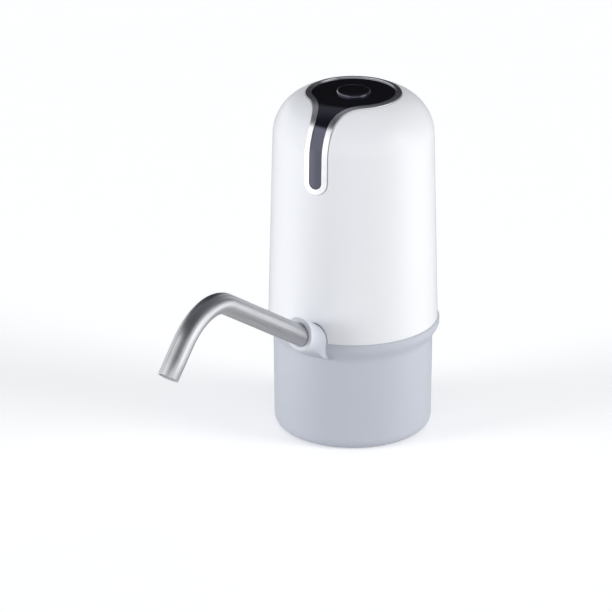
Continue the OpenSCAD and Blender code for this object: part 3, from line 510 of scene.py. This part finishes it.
def buildSpout(shape):
    bend = math.radians(shape["bend"])
    ahead = Vector((0, -math.sin(bend), math.cos(bend)))
    bm = bmesh.new()
    ring = bmesh.ops.create_circle(bm, segments=shape["segments"], radius=shape["radius"] * mm)["verts"]
    bmesh.ops.translate(bm, verts=ring, vec=(0, 0, -shape["inside"] * mm))
    end = bm.edges[:]
    for step in range(shape["straightSteps"]):
        end = pulled(bm, end, (0, 0, (shape["inside"] + shape["straight"]) * mm / shape["straightSteps"]))
    centre = Vector((0, -shape["bendRadius"], shape["straight"])) * mm
    last = bmesh.ops.spin(bm, geom=end, cent=centre, axis=(1, 0, 0), angle=bend, steps=shape["bendSteps"],
        use_duplicate=False)
    end = edgesIn(last["geom_last"])
    for step in range(shape["tipSteps"]):
        end = pulled(bm, end, ahead * shape["tip"] * mm / shape["tipSteps"])
    closeUp(bm)
    bmesh.ops.solidify(bm, geom=bm.faces[:], thickness=shape["wall"] * mm)
    bendEnd = centre + Vector((0, math.cos(bend), math.sin(bend))) * shape["bendRadius"] * mm
    tip = bendEnd + ahead * shape["tip"] * mm
    cut = [e for e in bm.edges if all(abs((v.co - tip).dot(ahead)) < tiny for v in e.verts)]
    softened(bm, [e for e in cut if e.calc_face_angle(0) > crispAngle], shape["lip"], shape["lipSegments"])
    lay = bm.verts.layers.float_vector.new("brushLay")
    for vert in bm.verts:
        vert[lay] = alongSpout(vert.co, shape)
    turn = Matrix.Rotation(math.radians(shape["turn"]), 4, "Z")
    bmesh.ops.transform(bm, matrix=socketPlace(shape) @ turn, verts=bm.verts)
    addPiece("spoutTube", bm, "steel_tube", "spout", "spout_tube")


buildSpout(spoutShape)
print("spout bent")

buttonShape = {
    "radius": 8.0, "flange": 9.1, "stem": 2.4, "stemFoot": 149.65, "flangeFoot": 165.35, "flangeTop": 166.55,
    "top": 168.75, "land": 6.9, "dish": 0.35, "dishSteps": 8, "steps": 128,
    "rim": 0.9, "rimSegments": 6, "corner": 0.15, "cornerSegments": 2}


def buildButton(shape):
    outline = [(0, shape["stemFoot"]), (shape["stem"], shape["stemFoot"]), (shape["stem"], shape["flangeFoot"]),
        (shape["flange"], shape["flangeFoot"]), (shape["flange"], shape["flangeTop"]),
        (shape["radius"], shape["flangeTop"]), (shape["radius"], shape["top"])]
    for step in range(shape["dishSteps"] + 1):
        share = 1 - step / shape["dishSteps"]
        outline.append((shape["land"] * share, shape["top"] - shape["dish"] * (1 - share ** 2)))
    bm = turned(outline, shape["steps"], closed=False)
    softened(bm, ringEdges(bm, shape["radius"], shape["top"]), shape["rim"], shape["rimSegments"])
    corners = []
    for r, z in (("flange", "flangeFoot"), ("flange", "flangeTop"), ("stem", "stemFoot")):
        corners += ringEdges(bm, shape[r], shape[z])
    softened(bm, corners, shape["corner"], shape["cornerSegments"])
    addPiece("buttonCap", bm, "black_gloss", "button", "button_cap")


buildButton(buttonShape)
print("button turned")

# outlines of radius and height, and the half angle left open in front
lipShape = {
    "outline": [(40.4, 55.5), (40.6, 55.4), (40.78, 55.24), (40.95, 55.02), (41.08, 54.76), (41.16, 54.45),
        (41.2, 54.0), (41.2, 53.2), (41.14, 52.4), (40.98, 51.75), (40.7, 51.1), (40.3, 50.4), (39.85, 49.7),
        (39.4, 49.0), (39.0, 48.4), (38.65, 47.8), (38.36, 47.2), (37.4, 47.2), (37.6, 48.2), (38.4, 50.5),
        (40.3, 53.4), (40.4, 54.7)],
    "open": 8.6, "steps": 180}
filletShape = {
    "outline": [(38.553, 47.6), (38.36, 47.2), (38.14, 46.6), (38.0, 46.0), (37.915, 45.4), (37.88, 44.8),
        (37.862, 44.2), (37.8, 43.2), (37.3, 43.2), (37.3, 47.6)],
    "open": 0, "steps": 180}


# band round the base, open in front where the boss comes through it
def buildBand(name, shape):
    bm = bmesh.new()
    chain, edges = drawn(bm, [(0, -r, z) for r, z in shape["outline"]])
    gap = math.radians(shape["open"])
    bmesh.ops.rotate(bm, verts=chain, cent=(0, 0, 0), matrix=Matrix.Rotation(gap, 3, "Z"))
    last = bmesh.ops.spin(bm, geom=chain + edges, cent=(0, 0, 0), axis=(0, 0, 1), angle=2 * math.pi - 2 * gap,
        steps=shape["steps"], use_merge=not gap, use_duplicate=False)
    if gap:
        for end in (edges, edgesIn(last["geom_last"])):
            bmesh.ops.contextual_create(bm, geom=end)
    closeUp(bm)
    addPiece(name, bm, "grey_plastic", "body")


buildBand("baseLip", lipShape)
buildBand("baseFillet", filletShape)

# front, full and back are along the spout from the mouth of the boss
rootShape = {
    "radius": 6.78, "bore": 6.0, "front": -7.0, "full": -18.5, "back": -24.0, "corner": 0.94,
    "steps": 17, "segments": 96}


# foot of the boss, where the lower half of its round side runs out into square corners on the base
def buildBossRoot(shape, spout):
    step = (shape["back"] - shape["front"]) / shape["steps"]
    outline = [(shape["bore"], shape["back"]), (shape["bore"], shape["front"])]
    outline += [(shape["radius"], shape["front"] + step * count) for count in range(shape["steps"] + 1)]
    bm = turned(outline, shape["segments"])
    middle = (shape["bore"] + shape["radius"]) / 2 * mm
    for vert in bm.verts:
        r = math.hypot(vert.co.x, vert.co.y)
        if vert.co.y < 0 and r > middle:
            share = min(1.0, (shape["front"] * mm - vert.co.z) / ((shape["front"] - shape["full"]) * mm))
            corner = r / max(abs(vert.co.x), abs(vert.co.y)) - 1
            grow = 1 + corner * shape["corner"] * share * share
            vert.co.x *= grow
            vert.co.y *= grow
    bmesh.ops.transform(bm, matrix=socketPlace(spout), verts=bm.verts)
    addPiece("bossRoot", bm, "grey_plastic", "body")


buildBossRoot(rootShape, spoutShape)

# front and back are on the y axis of the part
rimShape = {
    "inner": 5.08, "outer": 6.9, "root": 6.79, "front": -54.95, "back": -53.2, "segments": 96,
    "round": 0.55, "roundSegments": 5, "lip": 0.3, "lipSegments": 3}


# ring at the mouth of the boss, turned about the spout and leant so that its front stands upright
def buildRim(shape, spout):
    tilt = math.radians(spout["tilt"])
    front, back = [-(shape[end] + spout["reach"]) / math.cos(tilt) for end in ("front", "back")]
    outline = [(shape["inner"], back), (shape["inner"], front), (shape["outer"], front), (shape["root"], back)]
    bm = turned(outline, shape["segments"])
    for edge, size in (("outer", "round"), ("inner", "lip")):
        softened(bm, ringEdges(bm, shape[edge], front), shape[size], shape[size + "Segments"])
    lean = Matrix.Identity(4)
    lean[2][1] = math.tan(tilt)
    bmesh.ops.transform(bm, matrix=socketPlace(spout) @ lean, verts=bm.verts)
    addPiece("bossRim", bm, "grey_plastic", "body")


buildRim(rimShape, spoutShape)
print("base edges rounded")

# split and top are heights where light changes, inner and outer are cosines off a soft box's middle
studio = {
    "ambient": (0.405, 0.413, 0.427), "white": (1.0, 1.0, 1.0),
    "split": 0.2, "lean": 0.36, "soft": 0.08, "blur": 0.06, "highBehind": -0.25, "dimFront": 0.2,
    "below": (1.1, 1.1, 1.1), "dim": (0.05, 0.05, 0.056), "high": (0.18, 0.18, 0.2),
    "boxes": [
        {"azimuth": -75, "elevation": 0, "inner": 0.33, "outer": 0.2, "top": 0.52, "lean": 0.53,
            "color": (1.3, 1.3, 1.3)},
        {"azimuth": 98, "elevation": 8, "inner": 0.95, "outer": 0.87, "top": 0.9, "lean": 0.0,
            "color": (1.8, 1.8, 1.8)},
        {"azimuth": -152, "elevation": 22, "inner": 0.96, "outer": 0.87, "top": 0.9, "lean": 0.0,
            "color": (0.012, 0.012, 0.014)}]}


# what gloss and glass see: pale below and low in front, a soft box on each side, dark above and behind
def studioColor(tree, setting):
    direction = tree.nodes.new("ShaderNodeTexCoord").outputs["Generated"]
    height = dotWith(tree, direction, (0, 0, 1))
    front = dotWith(tree, direction, towards(0, 0))
    edge = mathOn(tree, "ADD", mathOn(tree, "MULTIPLY", front, setting["lean"]), setting["split"])
    factor = spread(tree, mathOn(tree, "SUBTRACT", height, edge), -setting["soft"], setting["soft"])
    forward = spread(tree, front, setting["highBehind"], setting["dimFront"])
    color = mixColor(tree, factor, setting["below"], mixColor(tree, forward, setting["high"], setting["dim"]))
    for box in setting["boxes"]:
        facing = dotWith(tree, direction, towards(box["azimuth"], box["elevation"]))
        rise = mathOn(tree, "SUBTRACT", height, mathOn(tree, "MULTIPLY", front, box["lean"]))
        under = spread(tree, rise, box["top"] - setting["blur"], box["top"] + setting["blur"], 1.0, 0.0)
        inside = mathOn(tree, "MULTIPLY", spread(tree, facing, box["outer"], box["inner"]), under)
        color = mixColor(tree, inside, color, box["color"])
    return color


def mirrorRay(tree, path):
    return mathOn(tree, "MAXIMUM", path.outputs["Is Glossy Ray"], path.outputs["Is Transmission Ray"])


def mixShaders(tree, factor, first, second):
    mix = tree.nodes.new("ShaderNodeMixShader")
    for socket, source in zip(mix.inputs, (factor, first.outputs[0], second.outputs[0])):
        tree.links.new(source, socket)
    return mix


def addWorld(setting):
    world = bpy.data.worlds.new("studioWorld")
    scene.world = world
    world.use_nodes = True
    tree = world.node_tree
    tree.nodes.clear()
    light, mirrored, white = [tree.nodes.new("ShaderNodeBackground") for ray in ("diffuse", "gloss", "camera")]
    light.inputs["Color"].default_value = opaque(setting["ambient"])
    white.inputs["Color"].default_value = opaque(setting["white"])
    tree.links.new(studioColor(tree, setting), mirrored.inputs["Color"])
    path = tree.nodes.new("ShaderNodeLightPath")
    shown = mixShaders(tree, mirrorRay(tree, path), light, mirrored)
    shown = mixShaders(tree, path.outputs["Is Camera Ray"], shown, white)
    out = tree.nodes.new("ShaderNodeOutputWorld")
    tree.links.new(shown.outputs[0], out.inputs["Surface"])


lamps = [
    {"name": "leftFill", "azimuth": -43, "elevation": 15, "strength": 1.58, "angle": 28, "color": (0.97, 0.98, 1.0)},
    {"name": "rightFill", "azimuth": 99, "elevation": 15, "strength": 1.82, "angle": 28, "color": (1.0, 1.0, 0.99)},
    {"name": "overhead", "azimuth": 20, "elevation": 82, "strength": 0.15, "angle": 60, "color": (1.0, 1.0, 1.0)}]
lampDistance = 2.0


def addLamp(lamp):
    data = bpy.data.lights.new(lamp["name"], "SUN")
    data.energy = lamp["strength"]
    data.angle = math.radians(lamp["angle"])
    data.color = lamp["color"]
    piece = bpy.data.objects.new(lamp["name"], data)
    aim = towards(lamp["azimuth"], lamp["elevation"])
    piece.location = aim * lampDistance
    lookBack(piece, aim)
    piece.visible_glossy = False
    scene.collection.objects.link(piece)


# distances in metres from the middle of the floor, directions as cosines to the camera's side
floorShape = {
    "radius": 14.0, "segments": 96, "lift": 0.3,
    "plain": {"Base Color": (0.97, 0.97, 0.973, 1.0), "Roughness": 0.6, "Specular IOR Level": 0.1,
        "Emission Color": (1.0, 1.0, 1.0, 1.0)},
    "mirror": {"near": 0.12, "far": 0.36, "nearLight": 0.62, "farLight": 1.15,
        "back": 0.15, "backFrom": -0.95, "backTo": -0.5,
        "side": 1.0, "sideAt": 0.1, "sideWide": 0.52, "sideFrom": 0.09, "sideFull": 0.16}}


# the floor as gloss sees it: bright on either side of the camera, dimmer close by and behind
def floorGloss(tree, mirror):
    place = objectVector(tree)
    size = tree.nodes.new("ShaderNodeVectorMath")
    size.operation = "LENGTH"
    tree.links.new(place, size.inputs[0])
    reach = size.outputs["Value"]
    facing = mathOn(tree, "DIVIDE", dotWith(tree, place, towards(photoView["azimuth"], 0)), reach)
    plain = spread(tree, reach, mirror["near"], mirror["far"], mirror["nearLight"], mirror["farLight"])
    behind = spread(tree, facing, mirror["backFrom"], mirror["backTo"], mirror["back"], 1.0)
    plain = mathOn(tree, "MULTIPLY", plain, behind)
    off = mathOn(tree, "DIVIDE", mathOn(tree, "SUBTRACT", facing, mirror["sideAt"]), mirror["sideWide"])
    side = mathOn(tree, "SUBTRACT", 1.0, mathOn(tree, "MULTIPLY", off, off), clamp=True)
    side = mathOn(tree, "MULTIPLY", side, spread(tree, reach, mirror["sideFrom"], mirror["sideFull"]))
    return mathOn(tree, "ADD", plain, mathOn(tree, "MULTIPLY", side, mirror["side"]))


def addFloor(shape):
    bm = bmesh.new()
    bmesh.ops.create_circle(bm, cap_ends=True, segments=shape["segments"], radius=shape["radius"])
    mesh = bpy.data.meshes.new("floor")
    bm.to_mesh(mesh)
    bm.free()
    floor = bpy.data.objects.new("floor", mesh)
    scene.collection.objects.link(floor)
    material, tree, shader = startMaterial("paleFloor", shape["plain"])
    path = tree.nodes.new("ShaderNodeLightPath")  # lifted to white only where it is seen
    seen = mathOn(tree, "MAXIMUM", path.outputs["Is Camera Ray"], mirrorRay(tree, path))
    tree.links.new(mathOn(tree, "MULTIPLY", seen, shape["lift"]), shader.inputs["Emission Strength"])
    glow = tree.nodes.new("ShaderNodeEmission")
    tree.links.new(floorGloss(tree, shape["mirror"]), glow.inputs["Strength"])
    shown = mixShaders(tree, path.outputs["Is Glossy Ray"], shader, glow)
    tree.links.new(shown.outputs[0], tree.nodes["Material Output"].inputs["Surface"])
    mesh.materials.append(material)


addWorld(studio)
for lamp in lamps:
    addLamp(lamp)
addFloor(floorShape)
print("studio lit")
